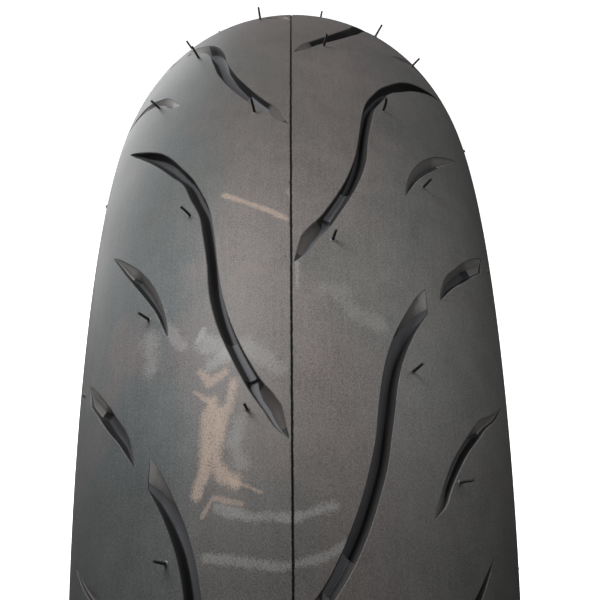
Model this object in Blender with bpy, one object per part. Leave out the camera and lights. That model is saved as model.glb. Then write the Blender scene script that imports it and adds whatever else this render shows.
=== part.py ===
"""Rear tyre of a sport motorcycle, built up ply by ply.

The axle lies along Y and the origin is the middle of the wheel.  Every piece is a ring about the axle.
One half of the section is described by lines that run from the crown centre down to the bead.  Each
line lies at a known depth under the outer surface, so the layers nest with a small clearance, and all
rings share the same flats.  The tread pattern is cut from the cap with curved cutters.

Lengths are in metres and angles in degrees.
"""
import math

import bmesh
import bpy
from mathutils import Vector

# --- Driving dimensions -------------------------------------------------------------------------
OUTER_DIAMETER = 0.624      # over the crown
SECTION_WIDTH = 0.160       # widest point of the sidewalls
SHOULDER_RADIUS = 0.0573    # outer surface between the crown and the widest point
CROWN_EDGE = 62.0           # section angle where the crown arc becomes the shoulder arc
SHOULDER_END = 84.0         # section angle where the shoulder becomes the sidewall
RIM_DIAMETER = 0.4318       # bead seat, 17 inch
RIM_WIDTH = 0.1270          # between the rim flanges, 5.00 inch
FLANGE_HEIGHT = 0.0141      # flat bead face that bears on the rim flange
BEAD_TAPER = 5.0            # slope of the bead seat
HEEL_CHAMFER = 0.0015

# Walls of the layers, from the outside in
CAP_CROWN = 0.0065
CAP_SHOULDER = 0.0050
CAP_EDGE = 0.0024
BASE_WALL = 0.0012
BELT_WALL = 0.0008
PLY_WALL = 0.0007
LINER_WALL = 0.0010
SIDEWALL_SHOULDER = 0.0072
SIDEWALL_WALL = 0.0026
SIDEWALL_FOOT = 0.0022
CHAFER_WALL = 0.0012
WRAP_WALL = 0.0006
WING_TIP = 0.0008
CLEARANCE = 0.0003          # between neighbouring layers

# Bead
CORE_WIDTH = 0.0070
CORE_HEIGHT = 0.0055
WRAP_RISE = 0.0030          # how far the wrap stands above the core
TOE_LENGTH = 0.0035         # chafer toe beyond the inner leg of the ply
FILLER_MIDDLE = 0.0030      # thickness of the filler half way up
FILLER_TOP = 0.0006

BUTT_GAP = 0.0006           # between layers that meet end to end, measured at the outer surface

# Where the layers end, as stations along the section (see SECTION_ANGLES)
TREAD_EDGE = 3.75
BASE_EDGE = 2.75
BELT_EDGE = 1.95
OUTER_PLY_EDGE = 6.30

# Tread pattern
GROOVE_DEPTH = 0.0048       # long grooves
LEAF_DEPTH = 0.0032         # short shoulder grooves
PITCHES = (50.4, 48.0, 46.0, 44.0, 41.0, 41.0, 43.6, 46.0)  # one repeat each; they add up to 360
NOMINAL_PITCH = 48.0        # shortest pitch at which the outlines below keep their full length
RIGHT_SHIFT = 0.25          # right half lags the left half by this share of a pitch
PATTERN_START = -10.7       # angle of the first inner tip on the left half
NOMINAL_CROWN = 0.0830      # crown radius at which the outlines below are drawn
CUTTER_RISE = 0.0040        # how far a cutter stands out of the surface

# --- Worked out from the sizes above --------------------------------------------------------------
OUTER_RADIUS = OUTER_DIAMETER / 2
RIM_RADIUS = RIM_DIAMETER / 2
HALF_WIDTH = SECTION_WIDTH / 2
EDGE_SIN = math.sin(math.radians(CROWN_EDGE))
CROWN_RADIUS = (HALF_WIDTH - SHOULDER_RADIUS * (1 - EDGE_SIN)) / EDGE_SIN
BEAD_FACE = RIM_WIDTH / 2

SECTION_ANGLES = (0.0, 26.0, 50.0, 68.0, SHOULDER_END)   # stations 0 to 4
LOWER_STEPS = 3                                           # stations 5 to 7 go on down to the bead
LAST = len(SECTION_ANGLES) - 1 + LOWER_STEPS
SEGMENTS = 28                                             # flats around each ring

# Outlines of the grooves in one repeat: (degrees round the tyre, millimetres across from the centre
# line along the surface).  Each starts at its lower tip, runs up its inner side and back down outside.
LONG_GROOVE_A = (
    (0.0, 1.2), (2.4, 3.8), (4.9, 13.8), (10.0, 24.0), (15.3, 28.0), (19.4, 34.0), (24.7, 49.0),
    (31.3, 77.0), (24.3, 54.0), (18.9, 38.0), (15.1, 32.0), (10.0, 28.5), (5.9, 21.5), (1.9, 9.6),
)
LONG_GROOVE_B = (
    (-23.9, 1.2), (-21.7, 5.0), (-19.0, 14.5), (-15.9, 21.5), (-11.0, 28.0), (-6.8, 32.5),
    (-0.5, 49.5), (-2.5, 50.0), (-6.0, 40.0), (-11.0, 34.2), (-16.0, 27.3), (-21.3, 13.0),
)
LEAVES = (
    ((7.8, 44.0), (10.3, 47.3), (14.0, 58.5), (17.8, 77.5), (13.9, 64.5), (9.9, 50.0)),
    ((-0.7, 56.2), (1.6, 60.5), (4.3, 72.0), (7.1, 88.0), (4.9, 84.0), (1.3, 65.5)),
    ((-16.4, 48.0), (-12.7, 56.5), (-8.9, 73.0), (-6.6, 92.0), (-10.5, 71.5), (-14.4, 56.0)),
)

# name: (colour, roughness, metallic)
FINISHES = {
    "tread_rubber": ((0.055, 0.055, 0.056), 0.62, 0.0),
    "base_rubber": ((0.035, 0.035, 0.036), 0.70, 0.0),
    "side_rubber": ((0.045, 0.046, 0.048), 0.58, 0.0),
    "belt_cord": ((0.32, 0.22, 0.11), 0.55, 0.3),
    "ply_cord": ((0.42, 0.36, 0.26), 0.80, 0.0),
    "liner_rubber": ((0.06, 0.058, 0.055), 0.35, 0.0),
    "filler_rubber": ((0.03, 0.03, 0.03), 0.50, 0.0),
    "bead_steel": ((0.55, 0.47, 0.36), 0.35, 1.0),
    "wrap_fabric": ((0.50, 0.44, 0.33), 0.85, 0.0),
    "chafer_rubber": ((0.05, 0.05, 0.05), 0.50, 0.0),
}


# --- Section lines --------------------------------------------------------------------------------
def surface_point(angle):
    """Point (y, r) of the outer surface at a section angle, and the outward direction there."""
    turn = math.radians(angle)
    normal = Vector((math.sin(turn), math.cos(turn)))
    crown_centre = Vector((0.0, OUTER_RADIUS - CROWN_RADIUS))
    if angle <= CROWN_EDGE:
        return crown_centre + normal * CROWN_RADIUS, normal
    edge = math.radians(CROWN_EDGE)
    edge_normal = Vector((math.sin(edge), math.cos(edge)))
    shoulder_centre = crown_centre + edge_normal * (CROWN_RADIUS - SHOULDER_RADIUS)
    return shoulder_centre + normal * SHOULDER_RADIUS, normal


def lower_sidewall(start, start_normal):
    """Stations from the widest point to the top of the bead face, as points and outward directions."""
    end = Vector((BEAD_FACE, RIM_RADIUS + FLANGE_HEIGHT))
    reach = (start - end).length
    leave = Vector((start_normal.y, -start_normal.x)) * (0.34 * reach)
    arrive = Vector((-0.5, -0.866)) * (0.30 * reach)
    points = []
    for step in range(1, LOWER_STEPS + 1):
        t = step / LOWER_STEPS
        a, b, c, d = (1 - t) ** 3, 3 * t * (1 - t) ** 2, 3 * t * t * (1 - t), t ** 3
        points.append(start * a + (start + leave) * b + (end - arrive) * c + end * d)
    normals = []
    chain = [start] + points
    for i in range(1, len(chain) - 1):
        along = (chain[i] - chain[i - 1]).normalized() + (chain[i + 1] - chain[i]).normalized()
        along.normalize()
        normals.append(Vector((-along.y, along.x)))
    normals.append(Vector((1.0, 0.0)))
    return points, normals


def outer_line():
    """All stations of the outer surface: points and outward directions."""
    points, normals = [], []
    for angle in SECTION_ANGLES:
        point, normal = surface_point(angle)
        points.append(point)
        normals.append(normal)
    more_points, more_normals = lower_sidewall(points[-1], normals[-1])
    return points + more_points, normals + more_normals


SURFACE, NORMALS = outer_line()


def add(line, amount):
    """A line of depths moved inwards by one amount, or by one amount for each station."""
    if isinstance(amount, (int, float)):
        amount = [amount] * len(line)
    return [a + b for a, b in zip(line, amount)]


# Depths under the outer surface at stations 0 to LAST
SKIN = [0.0] * (LAST + 1)
CAP_IN = [CAP_CROWN, CAP_CROWN, CAP_CROWN, CAP_SHOULDER] + [CAP_EDGE] * (LAST - 3)
BASE_OUT = add(CAP_IN, CLEARANCE)
BASE_IN = add(BASE_OUT, BASE_WALL)
ZERO_OUT = add(BASE_IN, CLEARANCE)
ZERO_IN = add(ZERO_OUT, BELT_WALL)
BREAKER_OUT = add(ZERO_IN, CLEARANCE)
BREAKER_IN = add(BREAKER_OUT, BELT_WALL)
SIDE_IN = BREAKER_IN[:3] + [SIDEWALL_SHOULDER, SIDEWALL_WALL, SIDEWALL_WALL, SIDEWALL_FOOT, CHAFER_WALL]
OUTER_PLY_OUT = add(SIDE_IN, CLEARANCE)
OUTER_PLY_IN = add(OUTER_PLY_OUT, PLY_WALL)
CORE_STACK = CORE_WIDTH + 2 * WRAP_WALL + 3 * CLEARANCE
FILLING = [0.0] * 5 + [FILLER_TOP + CLEARANCE, FILLER_MIDDLE + CLEARANCE, CORE_STACK]
INNER_PLY_OUT = add(add(OUTER_PLY_IN, CLEARANCE), FILLING)
INNER_PLY_IN = add(INNER_PLY_OUT, PLY_WALL)
LINER_OUT = add(INNER_PLY_IN, CLEARANCE)
LINER_IN = add(LINER_OUT, LINER_WALL)


def place(depths, station):
    """Point (y, r) on a section line.  Between stations it lies on the straight chord."""
    low = min(int(station), LAST - 1)
    share = station - low
    a = SURFACE[low] - NORMALS[low] * depths[low]
    b = SURFACE[low + 1] - NORMALS[low + 1] * depths[low + 1]
    return a.lerp(b, share)


def run(depths, first, last):
    """Points along a section line from one station to another, either way, with the stations between."""
    low, high = sorted((first, last))
    between = [i for i in range(math.floor(low) + 1, math.ceil(high))]
    stations = [low] + between + [high]
    if last < first:
        stations.reverse()
    return [place(depths, s) for s in stations]


def beyond(station, distance):
    """Station that lies a distance further along the outer surface."""
    low = int(station)
    return station + distance / (SURFACE[low + 1] - SURFACE[low]).length


def mirrored(points):
    """The same section on the left half."""
    return [Vector((-p.x, p.y)) for p in points]


def across(outside, inside, edge):
    """Section of a layer that crosses the crown: out along one line and back along the other."""
    upper = run(outside, 0, edge)
    lower = run(inside, edge, 0)
    right = upper + lower
    left = mirrored(right[1:-1])
    left.reverse()
    return right + left


# --- Solids ---------------------------------------------------------------------------------------
def finish(name):
    """Material of one finish."""
    material = bpy.data.materials.get(name)
    if material:
        return material
    colour, roughness, metallic = FINISHES[name]
    material = bpy.data.materials.new(name)
    material.use_nodes = True
    shader = material.node_tree.nodes["Principled BSDF"]
    shader.inputs["Base Color"].default_value = (*colour, 1.0)
    shader.inputs["Roughness"].default_value = roughness
    shader.inputs["Metallic"].default_value = metallic
    material.diffuse_color = (*colour, 1.0)
    return material


def add_object(name, mesh, finish_name):
    """Put a mesh in the scene as a named sub-part."""
    obj = bpy.data.objects.new(name, mesh)
    bpy.context.scene.collection.objects.link(obj)
    if finish_name:
        mesh.materials.append(finish(finish_name))
    return obj


def ring(name, section, finish_name):
    """Turn a closed section about the axle, in flats that all the rings share."""
    bm = bmesh.new()
    loops = []
    for k in range(SEGMENTS):
        turn = 2 * math.pi * k / SEGMENTS
        c, s = math.cos(turn), math.sin(turn)
        loops.append([bm.verts.new((p.y * c, p.x, p.y * s)) for p in section])
    count = len(section)
    for k in range(SEGMENTS):
        here, there = loops[k], loops[(k + 1) % SEGMENTS]
        for i in range(count):
            j = (i + 1) % count
            bm.faces.new((here[i], here[j], there[j], there[i]))
    bmesh.ops.recalc_face_normals(bm, faces=bm.faces)
    mesh = bpy.data.meshes.new(name)
    bm.to_mesh(mesh)
    bm.free()
    mesh.shade_smooth()
    mesh.set_sharp_from_angle(angle=math.radians(25))
    return add_object(name, mesh, finish_name)


def pair(name, section, finish_name):
    """Left and right copies of a ring."""
    ring(name + "_right", section, finish_name)
    ring(name + "_left", mirrored(section), finish_name)


# --- Tread pattern --------------------------------------------------------------------------------
def pattern_angle(repeat, side, degrees):
    """Angle round the tyre of a point drawn at some degrees from the inner tip of one repeat."""
    pitch = PITCHES[repeat]
    lag = RIGHT_SHIFT * pitch if side > 0 else 0.0
    return PATTERN_START + sum(PITCHES[:repeat]) + lag + degrees * min(1.0, pitch / NOMINAL_PITCH)


def arc_to_station(distance):
    """Station at a distance across the surface from the centre line."""
    crown_arc = CROWN_RADIUS * math.radians(CROWN_EDGE)
    if distance <= crown_arc:
        angle = math.degrees(distance / CROWN_RADIUS)
    else:
        angle = CROWN_EDGE + math.degrees((distance - crown_arc) / SHOULDER_RADIUS)
    for i in range(len(SECTION_ANGLES) - 1):
        low, high = SECTION_ANGLES[i], SECTION_ANGLES[i + 1]
        if angle <= high:
            return i + (angle - low) / (high - low)
    return float(len(SECTION_ANGLES) - 1)


def on_flats(angle, distance, side, depth):
    """Point at a depth under the flats of the tread."""
    step = 360.0 / SEGMENTS
    index = math.floor(angle / step)
    share = angle / step - index
    station = arc_to_station(distance)
    skin = place(SKIN, station)
    section_normal = NORMALS[int(station)].lerp(NORMALS[min(int(station) + 1, LAST)], station % 1)
    section_normal.normalize()
    spot = skin - section_normal * depth
    corners = []
    for k in (index, index + 1):
        turn = math.radians(k * step)
        corners.append(Vector((spot.y * math.cos(turn), side * spot.x, spot.y * math.sin(turn))))
    return corners[0].lerp(corners[1], share)


def groove_cutter(bm, outline, side, repeat, depth):
    """Add one closed cutter: the outline carried through the surface."""
    top, bottom = [], []
    for degrees, across_mm in outline:
        distance = across_mm / 1000 * CROWN_RADIUS / NOMINAL_CROWN
        angle = pattern_angle(repeat, side, degrees)
        top.append(bm.verts.new(on_flats(angle, distance, side, -CUTTER_RISE)))
        bottom.append(bm.verts.new(on_flats(angle, distance, side, depth)))
    faces = [bm.faces.new(top), bm.faces.new(bottom)]
    count = len(outline)
    for i in range(count):
        j = (i + 1) % count
        faces.append(bm.faces.new((top[i], top[j], bottom[j], bottom[i])))
    bmesh.ops.recalc_face_normals(bm, faces=faces)
    bmesh.ops.triangulate(bm, faces=faces, quad_method="BEAUTY", ngon_method="BEAUTY")


def cut_tread(cap):
    """Cut every groove of both halves from the cap."""
    bm = bmesh.new()
    for repeat in range(len(PITCHES)):
        for side in (-1, 1):
            groove_cutter(bm, LONG_GROOVE_A, side, repeat, GROOVE_DEPTH)
            groove_cutter(bm, LONG_GROOVE_B, side, repeat, GROOVE_DEPTH)
            for leaf in LEAVES:
                groove_cutter(bm, leaf, side, repeat, LEAF_DEPTH)
    mesh = bpy.data.meshes.new("groove_cutters")
    bm.to_mesh(mesh)
    bm.free()
    cutter = add_object("groove_cutters", mesh, None)
    cutter.hide_render = True
    cutter.display_type = "WIRE"
    cut = cap.modifiers.new("grooves", "BOOLEAN")
    cut.operation = "DIFFERENCE"
    cut.solver = "EXACT"
    cut.object = cutter


# --- Sub-parts ------------------------------------------------------------------------------------
def build_tread():
    """Cap with its grooves, the base under it, and the two belts."""
    cut_tread(ring("tread_cap", across(SKIN, CAP_IN, TREAD_EDGE), "tread_rubber"))
    ring("tread_base", across(BASE_OUT, BASE_IN, BASE_EDGE), "base_rubber")
    ring("zero_degree_belt", across(ZERO_OUT, ZERO_IN, BELT_EDGE), "belt_cord")
    ring("breaker_ply", across(BREAKER_OUT, BREAKER_IN, BELT_EDGE), "belt_cord")
    under_base = add(BASE_IN, CLEARANCE)
    over_ply = add(OUTER_PLY_OUT, -CLEARANCE)
    start = max(beyond(BELT_EDGE, BUTT_GAP), round(BELT_EDGE))
    cushion = run(under_base, start, BASE_EDGE) + run(over_ply, BASE_EDGE, start)
    pair("belt_edge_cushion", cushion, "base_rubber")


def build_sidewalls():
    """Side rubber from under the tread edge to the bead, and the strip that joins it to the tread."""
    wing_in = CAP_IN[:4] + [WING_TIP] * (LAST - 3)
    wing_start = beyond(TREAD_EDGE, CLEARANCE)
    under_start = beyond(BASE_EDGE, BUTT_GAP)
    corner = len(SECTION_ANGLES) - 1
    wing = [place(SKIN, wing_start), place(SKIN, corner), place(wing_in, corner), place(CAP_IN, wing_start)]
    pair("tread_wing", wing, "side_rubber")
    under_cap = run(BASE_OUT, under_start, wing_start)
    under_wing = [place(add(wing_in, CLEARANCE), corner)]
    exposed = run(SKIN, beyond(corner, CLEARANCE), LAST)
    back = run(SIDE_IN, LAST, under_start)
    pair("sidewall", under_cap + under_wing + exposed + back, "side_rubber")


def build_carcass():
    """Two plies and the airtight liner.  The inner ply turns up around both beads."""
    ring("carcass_ply_outer", across(OUTER_PLY_OUT, OUTER_PLY_IN, OUTER_PLY_EDGE), "ply_cord")
    down = run(INNER_PLY_OUT, 0, LAST)
    hook_in = place(INNER_PLY_OUT, LAST).x
    hook_out = place(OUTER_PLY_IN, LAST).x
    floor = RIM_RADIUS + CHAFER_WALL + CLEARANCE
    under_core = [Vector((hook_in, floor + PLY_WALL)), Vector((hook_out, floor + PLY_WALL))]
    turn_up_edge = beyond(OUTER_PLY_EDGE, BUTT_GAP)
    turn_up = run(OUTER_PLY_IN, LAST, turn_up_edge) + run(OUTER_PLY_OUT, turn_up_edge, LAST)
    outside = [Vector((hook_out + PLY_WALL, floor)), Vector((hook_in - PLY_WALL, floor))]
    back = run(INNER_PLY_IN, LAST, 0)
    right = down + under_core + turn_up + outside + back
    left = mirrored(right[1:-1])
    left.reverse()
    ring("carcass_ply_inner", right + left, "ply_cord")
    ring("inner_liner", across(LINER_OUT, LINER_IN, LAST), "liner_rubber")


def build_beads():
    """Wire core, its fabric wrap, the hard filler above it, and the chafer that bears on the rim."""
    hook_in = place(INNER_PLY_OUT, LAST).x
    hook_out = place(OUTER_PLY_IN, LAST).x
    ply_floor = RIM_RADIUS + CHAFER_WALL + CLEARANCE
    wrap_floor = ply_floor + PLY_WALL + CLEARANCE
    core_floor = wrap_floor + WRAP_WALL + CLEARANCE
    core_top = core_floor + CORE_HEIGHT
    wrap_top = core_top + WRAP_RISE
    wrap_in, wrap_out = hook_in + CLEARANCE, hook_out - CLEARANCE
    core_in, core_out = wrap_in + WRAP_WALL + CLEARANCE, wrap_out - WRAP_WALL - CLEARANCE
    core = [(core_in, core_floor), (core_out, core_floor), (core_out, core_top), (core_in, core_top)]
    pair("bead_core", [Vector(p) for p in core], "bead_steel")
    wrap = [
        (wrap_in, wrap_floor), (wrap_out, wrap_floor),
        (wrap_out, wrap_top), (wrap_out - WRAP_WALL, wrap_top),
        (wrap_out - WRAP_WALL, wrap_floor + WRAP_WALL), (wrap_in + WRAP_WALL, wrap_floor + WRAP_WALL),
        (wrap_in + WRAP_WALL, wrap_top), (wrap_in, wrap_top),
    ]
    pair("bead_wrap", [Vector(p) for p in wrap], "wrap_fabric")
    filler_out = add(OUTER_PLY_IN, CLEARANCE)
    filler_in = add(INNER_PLY_OUT, -CLEARANCE)
    filler_top = LAST - 2
    filler = [
        Vector((core_in, core_top + CLEARANCE)), Vector((core_out, core_top + CLEARANCE)),
        Vector((core_out, wrap_top)),
        place(filler_out, LAST), place(filler_out, LAST - 1), place(filler_out, filler_top),
        place(filler_in, filler_top), place(filler_in, LAST - 1), place(filler_in, LAST),
        Vector((core_in, wrap_top)),
    ]
    pair("bead_filler", filler, "filler_rubber")
    liner_foot = place(LINER_OUT, LAST)
    toe = hook_in - PLY_WALL - CLEARANCE - TOE_LENGTH
    slope = math.tan(math.radians(BEAD_TAPER))
    face_top = RIM_RADIUS + FLANGE_HEIGHT - CLEARANCE
    chafer = [
        (BEAD_FACE, face_top), (BEAD_FACE, RIM_RADIUS + HEEL_CHAMFER),
        (BEAD_FACE - HEEL_CHAMFER, RIM_RADIUS),
        (toe, RIM_RADIUS - slope * (BEAD_FACE - toe)),
        (liner_foot.x, ply_floor + CORE_HEIGHT),
        (hook_in - PLY_WALL - CLEARANCE, RIM_RADIUS + CHAFER_WALL),
        (BEAD_FACE - CHAFER_WALL, RIM_RADIUS + CHAFER_WALL),
        (BEAD_FACE - CHAFER_WALL, face_top),
    ]
    pair("chafer", [Vector(p) for p in chafer], "chafer_rubber")


def main():
    """Clear the scene and build the tyre."""
    for obj in list(bpy.data.objects):
        bpy.data.objects.remove(obj, do_unlink=True)
    build_tread()
    build_sidewalls()
    build_carcass()
    build_beads()


main()
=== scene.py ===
"""Looks of a motorcycle rear tyre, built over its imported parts.

Every part is a ring about the axle, which lies along Y.  The section lines of the part are followed
with smooth rings, the tread pattern is cut from the cap with lofted cutters, and vent whiskers stand
on the tread as they leave the mould.  Lengths are in metres unless a name says millimetres.
"""
import logging
import math
import random
from dataclasses import dataclass, field
from enum import Enum

import bmesh
import bpy
from mathutils import Matrix, Vector


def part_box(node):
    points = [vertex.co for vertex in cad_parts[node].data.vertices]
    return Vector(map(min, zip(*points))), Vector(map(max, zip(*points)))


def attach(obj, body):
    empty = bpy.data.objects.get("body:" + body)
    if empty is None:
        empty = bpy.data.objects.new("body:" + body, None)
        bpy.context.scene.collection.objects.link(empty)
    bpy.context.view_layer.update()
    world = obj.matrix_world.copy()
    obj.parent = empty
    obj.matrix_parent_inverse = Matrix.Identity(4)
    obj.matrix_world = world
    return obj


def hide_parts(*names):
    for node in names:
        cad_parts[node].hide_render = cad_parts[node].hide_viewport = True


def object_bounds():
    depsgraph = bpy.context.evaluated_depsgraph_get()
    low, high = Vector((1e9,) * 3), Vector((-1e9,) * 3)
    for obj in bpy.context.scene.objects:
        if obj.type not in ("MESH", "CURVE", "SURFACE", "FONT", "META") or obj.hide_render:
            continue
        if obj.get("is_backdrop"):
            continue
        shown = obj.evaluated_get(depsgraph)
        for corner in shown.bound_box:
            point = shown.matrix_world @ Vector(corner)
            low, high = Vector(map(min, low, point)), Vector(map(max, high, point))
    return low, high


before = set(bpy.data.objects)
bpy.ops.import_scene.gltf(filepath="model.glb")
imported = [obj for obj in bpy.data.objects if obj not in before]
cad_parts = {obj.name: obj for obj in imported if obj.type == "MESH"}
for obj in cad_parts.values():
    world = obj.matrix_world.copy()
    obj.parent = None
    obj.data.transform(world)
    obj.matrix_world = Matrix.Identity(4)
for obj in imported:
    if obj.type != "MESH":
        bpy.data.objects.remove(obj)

LOG = logging.getLogger("tyre")
MM = 0.001
BODY = "root"

Point2 = tuple[float, float]


class Side(Enum):
    """The two halves of the tyre, as the sign of Y."""

    LEFT = -1
    RIGHT = 1

    @property
    def label(self) -> str:
        """Ending of a part's name."""
        return self.name.lower()


# --- Section --------------------------------------------------------------------------------------
@dataclass(frozen=True)
class Profile:
    """Outer line of one half of the section, from the crown down to the bead face."""

    outer_radius: float
    half_width: float
    bead_face: float
    flange_top: float
    shoulder_radius: float = 0.0573
    crown_edge: float = 62.0
    shoulder_end: float = 84.0
    angles: tuple[float, ...] = (0.0, 26.0, 50.0, 68.0, 84.0)
    lower_steps: int = 3

    @classmethod
    def from_frame(cls) -> "Profile":
        """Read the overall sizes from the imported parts.

        Returns:
            The profile that those parts share.
        """
        _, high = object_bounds()
        _, bead_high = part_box("chafer_right")
        hidden = cls.shoulder_radius * (1 - math.sin(math.radians(cls.shoulder_end)))
        return cls(high.z, high.y + hidden, bead_high.y, bead_high.z + 0.0003)

    @property
    def crown_radius(self) -> float:
        """Radius of the crown arc, which meets the shoulder arc smoothly."""
        lean = math.sin(math.radians(self.crown_edge))
        return (self.half_width - self.shoulder_radius * (1 - lean)) / lean

    @property
    def last(self) -> int:
        """Number of the last station, at the top of the bead face."""
        return len(self.angles) - 1 + self.lower_steps

    def at_angle(self, angle: float) -> tuple[Vector, Vector]:
        """Point (y, r) and outward direction at a section angle.

        Args:
            angle: degrees from the crown centre.

        Returns:
            The point and the unit direction.
        """
        turn = math.radians(angle)
        out = Vector((math.sin(turn), math.cos(turn)))
        centre = Vector((0.0, self.outer_radius - self.crown_radius))
        if angle <= self.crown_edge:
            return centre + out * self.crown_radius, out
        edge = math.radians(self.crown_edge)
        edge_out = Vector((math.sin(edge), math.cos(edge)))
        centre = centre + edge_out * (self.crown_radius - self.shoulder_radius)
        return centre + out * self.shoulder_radius, out

    def lower(self, share: float) -> Vector:
        """Point on the lower sidewall, from the widest point (0) to the bead face (1)."""
        start, out = self.at_angle(self.shoulder_end)
        end = Vector((self.bead_face, self.flange_top))
        reach = (start - end).length
        leave = Vector((out.y, -out.x)) * (0.34 * reach)
        arrive = Vector((-0.5, -0.866)) * (0.30 * reach)
        a, b = (1 - share) ** 3, 3 * share * (1 - share) ** 2
        c, d = 3 * share * share * (1 - share), share ** 3
        return start * a + (start + leave) * b + (end - arrive) * c + end * d

    def lower_normal(self, step: int) -> Vector:
        """Outward direction at a station of the lower sidewall."""
        if step == 0:
            return self.at_angle(self.shoulder_end)[1]
        if step == self.lower_steps:
            return Vector((1.0, 0.0))
        before, here, after = (self.lower((step + k) / self.lower_steps) for k in (-1, 0, 1))
        along = (here - before).normalized() + (after - here).normalized()
        along.normalize()
        return Vector((-along.y, along.x))

    def skin(self, station: float) -> tuple[Vector, Vector]:
        """Point and outward direction of the outer surface at a station.

        Args:
            station: 0 at the crown centre, up to `last` at the bead face.

        Returns:
            The point (y, r) and the unit direction.
        """
        widest = len(self.angles) - 1
        if station <= widest:
            low = min(int(station), widest - 1)
            share = station - low
            return self.at_angle(self.angles[low] + (self.angles[low + 1] - self.angles[low]) * share)
        run = station - widest
        low = min(int(run), self.lower_steps - 1)
        out = self.lower_normal(low).lerp(self.lower_normal(low + 1), run - low)
        return self.lower(run / self.lower_steps), out.normalized()

    def at_distance(self, distance: float) -> tuple[Vector, Vector]:
        """Point and outward direction at a distance along the tread from the crown centre."""
        crown_arc = self.crown_radius * math.radians(self.crown_edge)
        if distance <= crown_arc:
            return self.at_angle(math.degrees(distance / self.crown_radius))
        return self.at_angle(self.crown_edge + math.degrees((distance - crown_arc) / self.shoulder_radius))


Depths = list[float]


@dataclass
class Layers:
    """Depth lines under the outer surface, one number for each station."""

    profile: Profile
    clearance: float = 0.0003
    cap_crown: float = 0.0065
    cap_shoulder: float = 0.0050
    cap_edge: float = 0.0024
    base_wall: float = 0.0012
    belt_wall: float = 0.0008
    side_shoulder: float = 0.0072
    side_wall: float = 0.0026
    side_foot: float = 0.0022
    ply_wall: float = 0.0007
    liner_wall: float = 0.0010
    chafer_wall: float = 0.0012
    wrap_wall: float = 0.0006
    core_width: float = 0.0070
    filler_middle: float = 0.0030
    filler_top: float = 0.0006
    wing_tip: float = 0.0008

    def __post_init__(self) -> None:
        """Work out both sides of every layer, from the outside in."""
        add, gap = self.add, self.clearance
        self.skin = [0.0] * (self.profile.last + 1)
        self.cap_in = [self.cap_crown] * 3 + [self.cap_shoulder] + [self.cap_edge] * 4
        self.base_out = add(self.cap_in, gap)
        self.base_in = add(self.base_out, self.base_wall)
        self.zero_out = add(self.base_in, gap)
        self.zero_in = add(self.zero_out, self.belt_wall)
        self.breaker_out = add(self.zero_in, gap)
        self.breaker_in = add(self.breaker_out, self.belt_wall)
        self.side_in = self.breaker_in[:3] + [self.side_shoulder, self.side_wall, self.side_wall,
                                              self.side_foot, self.chafer_wall]
        self.outer_ply_out = add(self.side_in, gap)
        self.outer_ply_in = add(self.outer_ply_out, self.ply_wall)
        stack = self.core_width + 2 * self.wrap_wall + 3 * gap
        room = [0.0] * 5 + [self.filler_top + gap, self.filler_middle + gap, stack]
        self.inner_ply_out = add(add(self.outer_ply_in, gap), room)
        self.inner_ply_in = add(self.inner_ply_out, self.ply_wall)
        self.liner_out = add(self.inner_ply_in, gap)
        self.liner_in = add(self.liner_out, self.liner_wall)

    @staticmethod
    def add(line: Depths, amount: float | Depths) -> Depths:
        """Move a line inwards by one amount, or by one amount for each station."""
        amounts = amount if isinstance(amount, list) else [amount] * len(line)
        return [a + b for a, b in zip(line, amounts)]

    def place(self, depths: Depths, station: float) -> Vector:
        """Point (y, r) on a depth line."""
        low = min(int(station), self.profile.last - 1)
        depth = depths[low] + (depths[low + 1] - depths[low]) * (station - low)
        point, out = self.profile.skin(station)
        return point - out * depth

    def run(self, depths: Depths, first: float, last: float, step: float = 0.005) -> list[Vector]:
        """Points along a depth line from one station to another, either way.

        Args:
            depths: the depth line.
            first: station at the start.
            last: station at the end.
            step: largest distance between points.

        Returns:
            Points (y, r) in order.
        """
        low, high = sorted((first, last))
        stops = [low] + list(range(math.floor(low) + 1, math.ceil(high))) + [high]
        stations = [low]
        for a, b in zip(stops, stops[1:]):
            length = (self.profile.skin(b)[0] - self.profile.skin(a)[0]).length
            count = max(1, math.ceil(length / step))
            stations += [a + (b - a) * k / count for k in range(1, count + 1)]
        if last < first:
            stations.reverse()
        return [self.place(depths, s) for s in stations]

    def beyond(self, station: float, distance: float) -> float:
        """Station that lies a distance further along the outer surface."""
        low = int(station)
        span = (self.profile.skin(low + 1)[0] - self.profile.skin(low)[0]).length
        return station + distance / span

    def across(self, outside: Depths, inside: Depths, edge: float, step: float = 0.005) -> list[Vector]:
        """Closed section of a layer that crosses the crown, the outside finer than the inside."""
        right = self.run(outside, 0, edge, step) + self.run(inside, edge, 0, max(step, 0.006))
        left = self.mirrored(right[1:-1])
        left.reverse()
        return right + left

    @staticmethod
    def mirrored(points: list[Vector]) -> list[Vector]:
        """The same section on the left half."""
        return [Vector((-p.x, p.y)) for p in points]


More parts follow.
